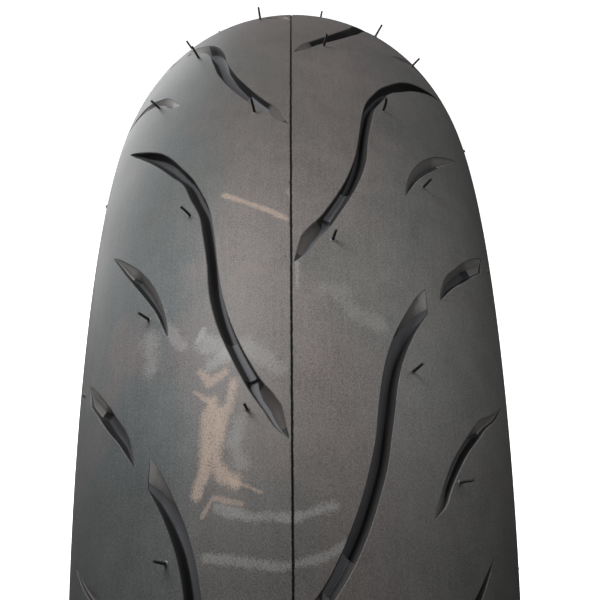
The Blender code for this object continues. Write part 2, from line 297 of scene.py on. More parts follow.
# --- Shader helpers -------------------------------------------------------------------------------
class Value:
    """A number socket that can be used in Python arithmetic."""

    def __init__(self, tree: "Tree", socket: bpy.types.NodeSocket) -> None:
        """Wrap one output socket of a tree."""
        self.tree = tree
        self.socket = socket

    def math(self, operation: str, *others: "Value | float") -> "Value":
        """Apply a Math node whose first input is this value."""
        return self.tree.value("ShaderNodeMath", {"operation": operation}, (self, *others))

    def __add__(self, other: "Value | float") -> "Value":
        """self + other"""
        return self.math("ADD", other)

    __radd__ = __add__

    def __mul__(self, other: "Value | float") -> "Value":
        """self * other"""
        return self.math("MULTIPLY", other)

    __rmul__ = __mul__

    def __sub__(self, other: "Value | float") -> "Value":
        """self - other"""
        return self.math("SUBTRACT", other)

    def __rsub__(self, other: float) -> "Value":
        """other - self"""
        return self.math("MULTIPLY", -1.0).math("ADD", other)

    def __truediv__(self, other: "Value | float") -> "Value":
        """self / other"""
        return self.math("DIVIDE", other)

    def __abs__(self) -> "Value":
        """Size without sign"""
        return self.math("ABSOLUTE")

    def least(self, other: "Value | float") -> "Value":
        """The smaller of two values."""
        return self.math("MINIMUM", other)

    def most(self, other: "Value | float") -> "Value":
        """The larger of two values."""
        return self.math("MAXIMUM", other)

    def step(self, start: float, end: float) -> "Value":
        """Smooth change from 0 at start to 1 at end, where start may be the larger."""
        settings = {"interpolation_type": "SMOOTHSTEP", "clamp": True}
        if start <= end:
            return self.tree.value("ShaderNodeMapRange", settings, {0: self, 1: start, 2: end})
        return self.tree.value("ShaderNodeMapRange", settings, {0: self, 1: end, 2: start, 3: 1.0, 4: 0.0})


Colour = tuple[float, float, float]


class Tree:
    """Node tree of one material, with short ways to add nodes and mix colours."""

    def __init__(self, name: str) -> None:
        """Start a material that has a principled shader and an output."""
        self.material = bpy.data.materials.new(name)
        self.material.use_nodes = True
        self.nodes = self.material.node_tree.nodes
        self.links = self.material.node_tree.links
        self.shader = self.nodes["Principled BSDF"]

    def node(self, kind: str, settings: dict, inputs: dict | tuple) -> bpy.types.Node:
        """Add a node.

        Args:
            kind: type of the node.
            settings: its properties, set first.
            inputs: values or links of its sockets, by place or name.

        Returns:
            The node.
        """
        made = self.nodes.new(kind)
        for key, value in settings.items():
            setattr(made, key, value)
        pairs = inputs.items() if isinstance(inputs, dict) else enumerate(inputs)
        for key, value in pairs:
            self.feed(made.inputs[key], value)
        return made

    def feed(self, socket: bpy.types.NodeSocket, value: object) -> None:
        """Link or set one input socket."""
        if isinstance(value, Value):
            self.links.new(value.socket, socket)
        elif isinstance(value, bpy.types.NodeSocket):
            self.links.new(value, socket)
        elif isinstance(value, tuple) and len(value) == 3 and socket.type == "RGBA":
            socket.default_value = (*value, 1.0)
        else:
            socket.default_value = value

    def value(self, kind: str, settings: dict, inputs: dict | tuple, output: int | str = 0) -> Value:
        """Add a node and wrap one of its outputs as a number."""
        return Value(self, self.node(kind, settings, inputs).outputs[output])

    def place(self) -> bpy.types.NodeSocket:
        """Object coordinates."""
        return self.node("ShaderNodeTexCoord", {}, {}).outputs["Object"]

    def axes(self) -> tuple[Value, Value, Value]:
        """X, Y and Z of the object coordinates."""
        split = self.node("ShaderNodeSeparateXYZ", {}, (self.place(),))
        return tuple(Value(self, split.outputs[k]) for k in range(3))

    def noise(self, scale: float, detail: float = 2.0, vector: object = None) -> Value:
        """Noise about 0.5 with features of about one over the scale."""
        where = self.place() if vector is None else vector
        inputs = {"Vector": where, "Scale": scale, "Detail": detail}
        return self.value("ShaderNodeTexNoise", {}, inputs, "Fac")

    def vector(self, x: Value | float, y: Value | float, z: Value | float) -> bpy.types.NodeSocket:
        """A vector from three numbers."""
        return self.node("ShaderNodeCombineXYZ", {}, (x, y, z)).outputs[0]

    def mix(self, factor: Value | float, first: object, second: object) -> bpy.types.NodeSocket:
        """Mix two colours."""
        made = self.node("ShaderNodeMix", {"data_type": "RGBA"}, {0: factor, 6: first, 7: second})
        return made.outputs[2]

    def scaled(self, colour: object, amount: Value | float) -> bpy.types.NodeSocket:
        """A colour made lighter or darker."""
        made = self.node("ShaderNodeVectorMath", {"operation": "SCALE"}, {0: colour, "Scale": amount})
        return made.outputs[0]

    def bump(self, height: Value, strength: float, distance: float) -> bpy.types.NodeSocket:
        """Normal of a bumpy surface."""
        inputs = {"Strength": strength, "Distance": distance, "Height": height}
        return self.node("ShaderNodeBump", {}, inputs).outputs[0]

    def finish(self, **sockets: object) -> bpy.types.Material:
        """Feed sockets of the shader, named with underscores for spaces.

        Args:
            sockets: values or links by socket name.

        Returns:
            The finished material.
        """
        for key, value in sockets.items():
            self.feed(self.shader.inputs[key.replace("_", " ")], value)
        return self.material


# --- Finishes -------------------------------------------------------------------------------------
@dataclass(frozen=True)
class Scuff:
    """A smear of dust on the tread: a path in millimetres across and round, with a soft width."""

    path: tuple[Point2, ...]
    width: float
    strength: float
    colour: Colour


TAN = (0.300, 0.225, 0.175)
CHALK = (0.250, 0.250, 0.240)
BLUSH = (0.140, 0.110, 0.098)

SCUFFS = (
    Scuff(((-24.5, 319.0), (-15.0, 312.5), (-1.5, 303.5)), 1.5, 0.70, TAN),
    Scuff(((-31.0, 244.0), (-27.5, 239.5), (-22.0, 242.5)), 2.2, 0.70, TAN),
    Scuff(((-26.0, 233.0), (-28.5, 226.0), (-28.5, 210.0), (-31.0, 201.0)), 2.9, 0.80, TAN),
    Scuff(((-19.0, 239.0), (-21.0, 230.5), (-23.5, 222.0), (-24.5, 212.0), (-22.5, 206.5), (-18.0, 204.5)),
          3.0, 0.80, TAN),
    Scuff(((-25.0, 229.0), (-26.5, 214.0)), 3.4, 0.78, TAN),
    Scuff(((-32.5, 237.0), (-26.0, 231.0)), 1.3, 0.65, TAN),
    Scuff(((-20.0, 205.5), (-10.0, 201.0)), 1.0, 0.60, TAN),
    Scuff(((-29.0, 194.0), (-25.5, 200.0), (-16.0, 197.5)), 1.2, 0.55, TAN),
    Scuff(((-24.0, 196.5), (-13.5, 193.5), (-1.0, 192.5), (13.0, 196.5)), 2.4, 0.42, CHALK),
    Scuff(((-27.5, 181.0), (-16.5, 179.5), (-4.0, 177.5), (6.5, 179.5), (17.0, 184.0)), 2.2, 0.38, CHALK),
    Scuff(((-32.5, 256.0), (-30.0, 260.5)), 1.3, 0.60, CHALK),
    Scuff(((-29.0, 254.0), (-22.5, 252.0)), 5.2, 0.55, CHALK),
    Scuff(((-27.0, 246.0), (-21.5, 249.0)), 3.0, 0.50, CHALK),
    Scuff(((-49.5, 276.0), (-44.5, 265.0), (-38.5, 255.5)), 2.6, 0.42, CHALK),
    Scuff(((-52.0, 264.0), (-51.0, 250.0)), 4.6, 0.42, CHALK),
    Scuff(((-22.5, 275.5), (-17.0, 283.5), (-10.5, 281.0)), 3.0, 0.50, BLUSH),
    Scuff(((-17.0, 225.0), (-19.0, 217.0), (-16.0, 211.0)), 3.2, 0.34, CHALK),
    Scuff(((15.0, 273.0), (21.0, 265.5), (30.0, 262.0)), 5.5, 0.24, CHALK),
    Scuff(((-16.0, 252.0), (-4.0, 243.0)), 4.5, 0.34, CHALK),
    Scuff(((2.0, 284.0), (2.0, 273.0)), 0.9, 0.45, CHALK),
    Scuff(((-1.0, 317.5), (-0.5, 316.0)), 2.0, 0.40, CHALK),
)


@dataclass(frozen=True)
class TreadRubber:
    """Moulded tread rubber: satin, speckled, paler on the crown and bluer on the left flank, with painted
    light in a band round the tread and painted shade on both shoulders.
    """

    name: str = "tread_rubber_satin"
    crown: Colour = (0.112, 0.099, 0.093)
    left: Colour = (0.080, 0.088, 0.089)
    right: Colour = (0.090, 0.088, 0.084)
    # edge: colour with painted shade for both shoulders, which turn sideways away from the light
    edge: Colour = (0.062, 0.061, 0.059)
    green: Colour = (0.078, 0.083, 0.077)
    pink: Colour = (0.118, 0.098, 0.095)
    roughness: float = 0.58
    crown_radius_mm: float = 83.0
    round_radius_mm: float = 315.0
    scuffs: tuple[Scuff, ...] = SCUFFS

    def build(self) -> bpy.types.Material:
        """Make the material."""
        t = Tree(self.name)
        x, y, z = t.axes()
        y_mm = y * 1000.0
        across = (y_mm / self.crown_radius_mm).math("ARCSINE") * self.crown_radius_mm
        round_mm = z.math("ARCTAN2", x) * self.round_radius_mm
        flow = t.noise(14.0, 3.0)
        wander = (flow - 0.5) * 34.0
        side = (across + wander).step(-6.0, 30.0)
        flank = t.mix(side, self.left, self.right)
        off_crown = abs(across + wander * 0.6).step(14.0, 46.0)
        colour = t.mix(off_crown, self.crown, flank)
        tint = t.noise(21.0, 3.0)
        colour = t.mix(tint.step(0.50, 0.64) * 0.50, colour, self.green)
        colour = t.mix(tint.step(0.46, 0.34) * 0.55, colour, self.pink)
        # Painted shade: both shoulders are painted darker, where they turn sideways away from the light.
        colour = t.mix(abs(y_mm).step(60.0, 84.0), colour, self.edge)
        cloud = t.noise(30.0, 4.0)
        patch = t.noise(120.0, 3.0)
        grain = t.noise(2000.0, 3.0)
        streak = t.noise(1.0, 4.0, t.vector(across * 0.8, round_mm * 0.05, 0.0))
        # Painted light: the tone is full in a band round the tread where the key light's broad highlight
        # falls, and is painted darker towards the bottom and the top of the view.
        painted_light_band = round_mm.step(165.0, 262.0) * round_mm.step(385.0, 265.0)
        tone = 0.46 + cloud * 0.44 + patch * 0.30 + streak * 0.34 + (grain - 0.5) * 1.8
        tone = tone * (0.60 + painted_light_band * 0.40)
        colour = t.scaled(colour, tone)
        specks = t.noise(1700.0, 0.0).step(0.78, 0.86)
        colour = t.mix(specks * 0.35, colour, (0.22, 0.22, 0.22))
        for scuff in self.scuffs:
            colour = self.add_scuff(t, colour, scuff, across, round_mm, patch, grain)
        # The centre parting line is painted near black: partly its own dark line, partly shade painted into
        # its small moulded groove.
        seam = abs(across + (t.noise(150.0, 2.0) - 0.5) * 0.5) + (t.noise(800.0, 1.0) - 0.5) * 0.6
        line = seam.step(0.54, 0.38)
        colour = t.mix(line * 0.97, colour, (0.004, 0.004, 0.004))
        height = grain * 0.70 + patch * 0.25 - line * 1.5
        rough = self.roughness + (cloud - 0.5) * 0.16 + (grain - 0.5) * 0.12
        return t.finish(Base_Color=colour, Roughness=rough, Specular_IOR_Level=0.42,
                        Normal=t.bump(height, 0.45, 0.00014))

    def add_scuff(self, t: Tree, colour: object, scuff: Scuff, across: Value, round_mm: Value,
                  patch: Value, grain: Value) -> bpy.types.NodeSocket:
        """Lay one smear over a colour.

        Args:
            t: tree of the material.
            colour: the colour so far.
            scuff: the smear.
            across: millimetres across the tread.
            round_mm: millimetres round the tread.
            patch: noise that makes the edge ragged.
            grain: fine noise that lets the rubber show through.

        Returns:
            The colour with the smear.
        """
        nearest = None
        for start, end in zip(scuff.path, scuff.path[1:]):
            run = (end[0] - start[0], end[1] - start[1])
            size = run[0] ** 2 + run[1] ** 2
            dx, dy = across - start[0], round_mm - start[1]
            share = ((dx * run[0] + dy * run[1]) / size).most(0.0).least(1.0)
            gap_x, gap_y = dx - share * run[0], dy - share * run[1]
            square = gap_x * gap_x + gap_y * gap_y
            nearest = square if nearest is None else nearest.least(square)
        cover = 1.0 - nearest.math("SQRT") / scuff.width
        ragged = cover + (patch - 0.5) * 1.5 + (grain - 0.5) * 1.2
        mask = ragged.step(-0.05, 0.85) * scuff.strength * (0.05 + grain * 1.5).least(1.0)
        return t.mix(mask, colour, scuff.colour)


@dataclass(frozen=True)
class PlainRubber:
    """Rubber with cloudy tone, fine grain and a soft sheen."""

    name: str
    colour: Colour
    roughness: float
    specular: float = 0.5
    grain: float = 0.25
    sheen_variation: float = 0.12
    bump: float = 0.35

    def build(self) -> bpy.types.Material:
        """Make the material."""
        t = Tree(self.name)
        cloud = t.noise(42.0, 4.0)
        grain = t.noise(1100.0, 2.0)
        tone = 0.80 + cloud * 0.36 + (grain - 0.5) * self.grain
        rough = self.roughness + (cloud - 0.5) * self.sheen_variation
        height = grain * 0.5 + cloud * 0.5
        return t.finish(Base_Color=t.scaled(self.colour, tone), Roughness=rough,
                        Specular_IOR_Level=self.specular, Normal=t.bump(height, self.bump, 0.0002))


@dataclass(frozen=True)
class CordFabric:
    """Rubbered cord: parallel threads that cross the section at an angle."""

    name: str
    thread: Colour
    rubber: Colour
    pitch: float = 0.0011
    lean: float = 90.0
    roughness: float = 0.72

    def build(self) -> bpy.types.Material:
        """Make the material."""
        t = Tree(self.name)
        x, y, z = t.axes()
        round_way = z.math("ARCTAN2", x) * 0.30
        turn = math.radians(self.lean)
        along = round_way * math.sin(turn) + y * math.cos(turn)
        wave = (along * (2 * math.pi / self.pitch)).math("SINE") * 0.5 + 0.5
        fuzz = t.noise(700.0, 2.0)
        tone = 0.75 + fuzz * 0.5
        colour = t.scaled(t.mix(wave.step(0.25, 0.8), self.rubber, self.thread), tone)
        height = wave + fuzz * 0.3
        return t.finish(Base_Color=colour, Roughness=self.roughness, Normal=t.bump(height, 0.7, 0.0003))


@dataclass(frozen=True)
class BeadWire:
    """Bronze-plated steel wire, wound round the bead."""

    name: str = "bead_wire_bronze"
    colour: Colour = (0.55, 0.44, 0.30)
    pitch: float = 0.0011

    def build(self) -> bpy.types.Material:
        """Make the material."""
        t = Tree(self.name)
        _, y, _ = t.axes()
        wave = (y * (2 * math.pi / self.pitch)).math("SINE") * 0.5 + 0.5
        tarnish = t.noise(160.0, 3.0)
        colour = t.scaled(self.colour, 0.7 + tarnish * 0.5)
        rough = 0.28 + tarnish * 0.25
        return t.finish(Base_Color=colour, Roughness=rough, Metallic=1.0,
                        Normal=t.bump(wave, 0.8, 0.0004))


@dataclass(frozen=True)
class SideRubber:
    """Sidewall rubber with a band of fine moulded rays near its widest point."""

    name: str = "side_rubber_moulded"
    colour: Colour = (0.040, 0.041, 0.042)
    rays: int = 540
    band: tuple[float, float] = (0.2385, 0.2440)

    def build(self) -> bpy.types.Material:
        """Make the material."""
        t = Tree(self.name)
        x, _, z = t.axes()
        radius = (x * x + z * z).math("SQRT")
        ray = (z.math("ARCTAN2", x) * float(self.rays)).math("SINE") * 0.5 + 0.5
        first, last = self.band
        edge = 0.0006
        inside = radius.step(first, first + edge) * radius.step(last, last - edge)
        cloud = t.noise(36.0, 4.0)
        grain = t.noise(1300.0, 2.0)
        tone = 0.82 + cloud * 0.34 + (grain - 0.5) * 0.2
        height = ray * inside * 1.6 + grain * 0.25
        rough = 0.46 + (cloud - 0.5) * 0.14 + inside * 0.08
        return t.finish(Base_Color=t.scaled(self.colour, tone), Roughness=rough,
                        Normal=t.bump(height, 0.6, 0.0004))


# --- Mesh helpers ---------------------------------------------------------------------------------
def deselect_all() -> None:
    """Leave edit mode and clear the selection."""
    if bpy.context.object and bpy.context.object.mode != "OBJECT":
        bpy.ops.object.mode_set(mode="OBJECT")
    bpy.ops.object.select_all(action="DESELECT")


def make_active(obj: bpy.types.Object) -> None:
    """Select one object alone."""
    deselect_all()
    obj.select_set(True)
    bpy.context.view_layer.objects.active = obj


def smooth(obj: bpy.types.Object, angle: float) -> None:
    """Shade an object smooth, with edges sharper than an angle kept."""
    make_active(obj)
    bpy.ops.object.shade_smooth_by_angle(angle=math.radians(angle))


def new_object(name: str, mesh: bpy.types.Mesh) -> bpy.types.Object:
    """Put a mesh in the scene."""
    obj = bpy.data.objects.new(name, mesh)
    bpy.context.scene.collection.objects.link(obj)
    return obj


def spin_section(name: str, section: list[Vector], steps: int) -> bpy.types.Object:
    """Turn a closed section about the axle.

    Args:
        name: name of the new object.
        section: points (y, r) in order.
        steps: number of steps round the tyre.

    Returns:
        The ring.
    """
    mesh = bpy.data.meshes.new(name)
    count = len(section)
    edges = [(i, (i + 1) % count) for i in range(count)]
    mesh.from_pydata([(p.y, p.x, 0.0) for p in section], edges, [])
    obj = new_object(name, mesh)
    make_active(obj)
    bpy.ops.object.mode_set(mode="EDIT")
    bpy.ops.mesh.select_all(action="SELECT")
    bpy.ops.mesh.spin(steps=steps, angle=2 * math.pi, center=(0, 0, 0), axis=(0, 1, 0))
    bpy.ops.mesh.select_all(action="SELECT")
    bpy.ops.mesh.remove_doubles(threshold=1e-6)
    bpy.ops.mesh.normals_make_consistent(inside=False)
    bpy.ops.object.mode_set(mode="OBJECT")
    return obj


def dress(obj: bpy.types.Object, node: str | None, slot: str, *materials: bpy.types.Material) -> None:
    """Give a piece its materials and its body, and hide the part that it replaces.

    Args:
        obj: the piece.
        node: part that it replaces, or None.
        slot: not used.
        materials: finishes in slot order.
    """
    if not obj.data.materials:
        for material in materials:
            obj.data.materials.append(material)
    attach(obj, BODY)
    if node:
        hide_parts(node)
    LOG.info("%s: %d faces", obj.name, len(obj.data.polygons))


# --- Tread pattern --------------------------------------------------------------------------------
@dataclass(frozen=True)
class Curve:
    """A smooth plane curve through points, with a few corners."""

    points: tuple[Point2, ...]
    corners: tuple[int, ...] = ()

    def lengths(self) -> list[float]:
        """Chord length of each span."""
        return [math.dist(a, b) for a, b in zip(self.points, self.points[1:])]

    def direction(self, index: int, leaving: bool) -> Vector:
        """Unit-speed direction at a point, on the side that leaves it or arrives at it."""
        chords = self.lengths()
        last = len(self.points) - 1
        before = index - 1 if index > 0 else None
        after = index if index < last else None
        if index in self.corners or before is None or after is None:
            span = after if (leaving and after is not None) or before is None else before
            return (Vector(self.points[span + 1]) - Vector(self.points[span])) / chords[span]
        back = (Vector(self.points[index]) - Vector(self.points[before])) / chords[before]
        forth = (Vector(self.points[index + 1]) - Vector(self.points[index])) / chords[after]
        return (back * chords[after] + forth * chords[before]) / (chords[before] + chords[after])

    def at(self, share: float) -> Vector:
        """Point at a share of the whole length."""
        chords = self.lengths()
        goal = share * sum(chords)
        index = 0
        while index < len(chords) - 1 and goal > chords[index]:
            goal -= chords[index]
            index += 1
        size = chords[index]
        u = min(1.0, goal / size)
        p, q = Vector(self.points[index]), Vector(self.points[index + 1])
        m, n = self.direction(index, True) * size, self.direction(index + 1, False) * size
        u2, u3 = u * u, u * u * u
        return p * (2 * u3 - 3 * u2 + 1) + m * (u3 - 2 * u2 + u) + q * (3 * u2 - 2 * u3) + n * (u3 - u2)


def graded(table: tuple[Point2, ...], share: float) -> float:
    """Value of a table of (share, value) pairs, straight between them."""
    for (a, va), (b, vb) in zip(table, table[1:]):
        if share <= b:
            return va + (vb - va) * (share - a) / max(b - a, 1e-9)
    return table[-1][1]


CUTTER_RISE_MM = 3.0
# Material slots of the cap: the tread rubber, then copies of one groove rubber painted darker or paler for
# the shade or light of each part of a groove.
TREAD, WALL, FLOOR, SHELF, RAMP, TIP = range(6)


@dataclass(frozen=True)
class Groove:
    """One groove: its two sides in millimetres (round, across), its depth and the lean of its walls.

    Shares run from the lower tip (0) to the upper tip (1).
    """

    inner: Curve
    outer: Curve
    depths: tuple[Point2, ...]
    inner_lean: tuple[Point2, ...]
    outer_lean: tuple[Point2, ...]
    start: float = 0.0
    steps: int = 44
    fillet: float = 0.9
    tip_end: float = 0.3
    ramp_from: float = 1.0
    slope_from: float = 1.85

    def inner_finish(self, share: float) -> int:
        """Material of the inner side: a steep wall takes the copy of the rubber painted in deep shade, a wide
        slope the plain tread-like copy, or one painted in shade near the lower tip.
        """
        if graded(self.inner_lean, share) < self.slope_from:
            return WALL
        return TIP if share < self.tip_end else RAMP

    def floor_finish(self, share: float) -> int:
        """Material of the floor: the copy of the rubber painted in deep shade, a copy with softer painted
        shade on the bar near the tip, and the plain tread-like copy on the upper ramp of a short groove.
        """
        if share > self.ramp_from:
            return RAMP
        return SHELF if share < self.tip_end and graded(self.depths, share) < 4.4 else FLOOR

    def shares(self) -> list[float]:
        """Shares at which the groove has a cross-section."""
        even = [k / self.steps for k in range(self.steps + 1)]
        breaks = [s for s, _ in self.depths + self.inner_lean + self.outer_lean]
        kept = sorted(set(breaks))
        for share in even:
            if all(abs(share - b) > 0.35 / self.steps for b in breaks):
                kept.append(share)
        return sorted(kept)

    def section(self, share: float, width: float) -> list[tuple[float, float, int]]:
        """Cross-section as (share of the width, depth in millimetres, finish) points, inner side first.

        Args:
            share: place along the groove.
            width: width of the groove there, in millimetres.

        Returns:
            Points from the inner edge to the outer edge, both above the surface.
        """
        depth = graded(self.depths, share)
        bevel = min(0.30, 0.45 * depth, 0.2 * width)
        lean = (graded(self.inner_lean, share), graded(self.outer_lean, share))
        fillet = min(self.fillet, 0.3 * depth)
        room = 0.94 * width / (lean[0] + lean[1] + 2 * fillet)
        shrink = min(1.0, room)
        sides = []
        for value in lean:
            a, f = value * shrink, fillet * shrink
            wall = depth - bevel
            sides.append([
                (-bevel, -CUTTER_RISE_MM), (-bevel, -0.02), (0.0, bevel),
                (0.5 * a, bevel + 0.50 * wall), (a, bevel + 0.86 * wall),
                (a + 0.35 * f, bevel + 0.96 * wall), (a + f, depth),
            ])
        points = [(u / width, z) for u, z in sides[0]]
        points.append((0.5 * (sides[0][-1][0] + width - sides[1][-1][0]) / width, depth))
        points += [(1 - u / width, z) for u, z in reversed(sides[1])]
        return points


LONG_A = Groove(
    inner=Curve(((0.0, 0.9), (13.0, 3.8), (19.5, 9.5), (27.0, 13.8), (37.0, 18.5), (55.0, 24.0),
                 (70.0, 26.3), (84.0, 28.0), (97.0, 30.5), (106.5, 34.0), (116.0, 38.0),
                 (125.0, 43.0), (136.0, 49.0), (145.0, 55.0), (151.0, 60.0), (158.0, 66.0),
                 (172.0, 76.8)), corners=(1,)),
    outer=Curve(((0.2, 1.4), (4.0, 5.5), (9.5, 9.0), (16.0, 13.3), (25.0, 18.0), (32.5, 21.5),
                 (43.0, 25.5), (55.0, 28.5), (70.0, 30.0), (83.0, 32.0), (94.0, 34.0),
                 (104.0, 38.0), (115.0, 42.0), (123.0, 47.5), (133.5, 54.0), (146.0, 62.0),
                 (159.0, 70.0), (171.6, 77.2))),
    depths=((0.0, 0.25), (0.03, 1.5), (0.06, 2.6), (0.110, 3.9), (0.129, 4.1), (0.132, 3.0),
            (0.213, 3.0), (0.216, 4.9), (0.80, 5.0), (0.90, 4.0), (0.965, 1.8), (1.0, 0.25)),
    inner_lean=((0.0, 1.2), (0.05, 3.6), (0.09, 3.4), (0.131, 0.3), (0.22, 0.3), (0.26, 0.45), (1.0, 0.6)),
    outer_lean=((0.0, 0.3), (0.12, 0.6), (0.135, 1.7), (0.21, 1.8), (0.24, 2.0), (0.9, 1.8), (1.0, 1.0)),
    steps=48,
)
LONG_B = Groove(
    inner=Curve(((0.0, 1.0), (12.0, 5.0), (18.0, 9.5), (27.0, 14.5), (35.0, 18.0), (44.0, 21.5),
                 (56.0, 25.0), (66.0, 27.3), (76.0, 28.5), (86.0, 30.0), (95.0, 32.0),
                 (105.0, 35.5), (111.0, 38.3), (117.0, 41.5), (124.0, 45.5), (129.0, 49.5)),
                corners=(1,)),
    outer=Curve(((0.2, 1.5), (4.0, 6.0), (11.0, 10.5), (19.0, 16.0), (27.0, 20.5), (36.0, 24.5),
                 (46.0, 28.0), (56.0, 31.0), (66.0, 32.8), (76.0, 34.5), (86.0, 36.0),
                 (94.0, 38.0), (103.0, 41.5), (111.0, 45.5), (118.0, 50.0)), corners=()),
    depths=((0.0, 0.2), (0.04, 1.0), (0.10, 1.9), (0.13, 2.2), (0.136, 3.0), (0.237, 3.0),
            (0.241, 4.9), (0.78, 5.0), (0.86, 4.4), (0.94, 2.8), (1.0, 0.3)),
    inner_lean=((0.0, 1.2), (0.06, 3.8), (0.10, 3.4), (0.137, 0.3), (0.24, 0.3), (0.28, 0.45), (0.80, 0.6),
                (0.86, 2.4), (0.94, 5.5), (1.0, 8.0)),
    outer_lean=((0.0, 0.3), (0.12, 0.6), (0.14, 1.7), (0.24, 2.0), (0.8, 1.4), (1.0, 0.4)),
    start=-131.0,
    steps=40,
)
LEAF_FORM = {
    "depths": ((0.0, 0.2), (0.08, 1.4), (0.20, 2.8), (0.45, 3.6), (0.60, 3.8), (0.635, 1.7), (0.80, 1.3),
               (0.93, 0.8), (1.0, 0.2)),
    "inner_lean": ((0.0, 1.9), (0.2, 2.4), (0.45, 2.8), (0.60, 2.8), (0.66, 3.2), (1.0, 3.0)),
    "outer_lean": ((0.0, 0.3), (0.5, 0.5), (1.0, 0.5)),
    "fillet": 0.4,
    "tip_end": 0.0,
    "ramp_from": 0.62,
}
LEAF_1 = Groove(
    inner=Curve(((43.0, 44.0), (48.0, 44.9), (56.5, 47.3), (67.0, 52.0), (77.0, 58.5),
                 (88.0, 68.0), (98.0, 77.3))),
    outer=Curve(((42.8, 44.5), (46.5, 46.2), (54.5, 50.0), (64.0, 56.0), (72.0, 61.5),
                 (81.0, 67.5), (97.7, 77.7)), corners=(5,)),
    **LEAF_FORM, steps=22)
LEAF_2 = Groove(
    inner=Curve(((-4.0, 56.0), (1.0, 57.3), (9.0, 60.5), (16.0, 66.0), (23.5, 72.0),
                 (31.0, 79.0), (39.0, 87.6))),
    outer=Curve(((-4.0, 56.6), (-1.0, 59.0), (7.0, 65.5), (13.5, 72.0), (21.5, 79.0),
                 (29.0, 86.0), (38.6, 88.2)), corners=(5,)),
    **LEAF_FORM, steps=22)
LEAF_3 = Groove(
    inner=Curve(((-90.0, 47.8), (-85.0, 49.9), (-79.0, 52.3), (-70.0, 56.5), (-61.5, 62.5), (-53.5, 69.0),
                 (-49.0, 73.0), (-42.0, 85.0), (-36.5, 91.7)), corners=(6,)),
    outer=Curve(((-90.0, 48.4), (-85.0, 53.5), (-79.0, 56.0), (-72.0, 60.0), (-64.0, 65.5), (-57.5, 71.5),
                 (-51.5, 77.0), (-45.0, 85.0), (-36.9, 92.2))),
    **LEAF_FORM, steps=24)

@dataclass(frozen=True)
class Pattern:
    """How the grooves repeat round the tyre: eight pitches of slightly different length."""

    pitches: tuple[float, ...] = (50.4, 48.0, 46.0, 44.0, 41.0, 41.0, 43.6, 46.0)
    nominal: float = 48.0
    right_shift: float = 0.25
    start: float = -10.7
    round_radius_mm: float = 315.0

    def angle(self, repeat: int, side: Side, round_mm: float) -> float:
        """Angle round the tyre, in degrees.

        Args:
            repeat: number of the pitch.
            side: half of the tyre, of which the right one lags.
            round_mm: distance round from the inner tip of the pitch's first groove.

        Returns:
            The angle from the X axis.
        """
        pitch = self.pitches[repeat]
        lag = self.right_shift * pitch if side is Side.RIGHT else 0.0
        run = math.degrees(round_mm / self.round_radius_mm) * min(1.0, pitch / self.nominal)
        return self.start + sum(self.pitches[:repeat]) + lag + run

    def spot(self, profile: Profile, repeat: int, side: Side, round_mm: float, across_mm: float,
             depth_mm: float) -> Vector:
        """Point under the tread surface.

        Args:
            profile: outer line of the section.
            repeat: number of the pitch.
            side: half of the tyre.
            round_mm: distance round from the tip of the pitch's first groove.
            across_mm: distance across from the centre line.
            depth_mm: depth under the surface.

        Returns:
            The point in space.
        """
        turn = math.radians(self.angle(repeat, side, round_mm))
        point, out = profile.at_distance(across_mm * MM)
        place = point - out * (depth_mm * MM)
        return Vector((place.y * math.cos(turn), side.value * place.x, place.y * math.sin(turn)))


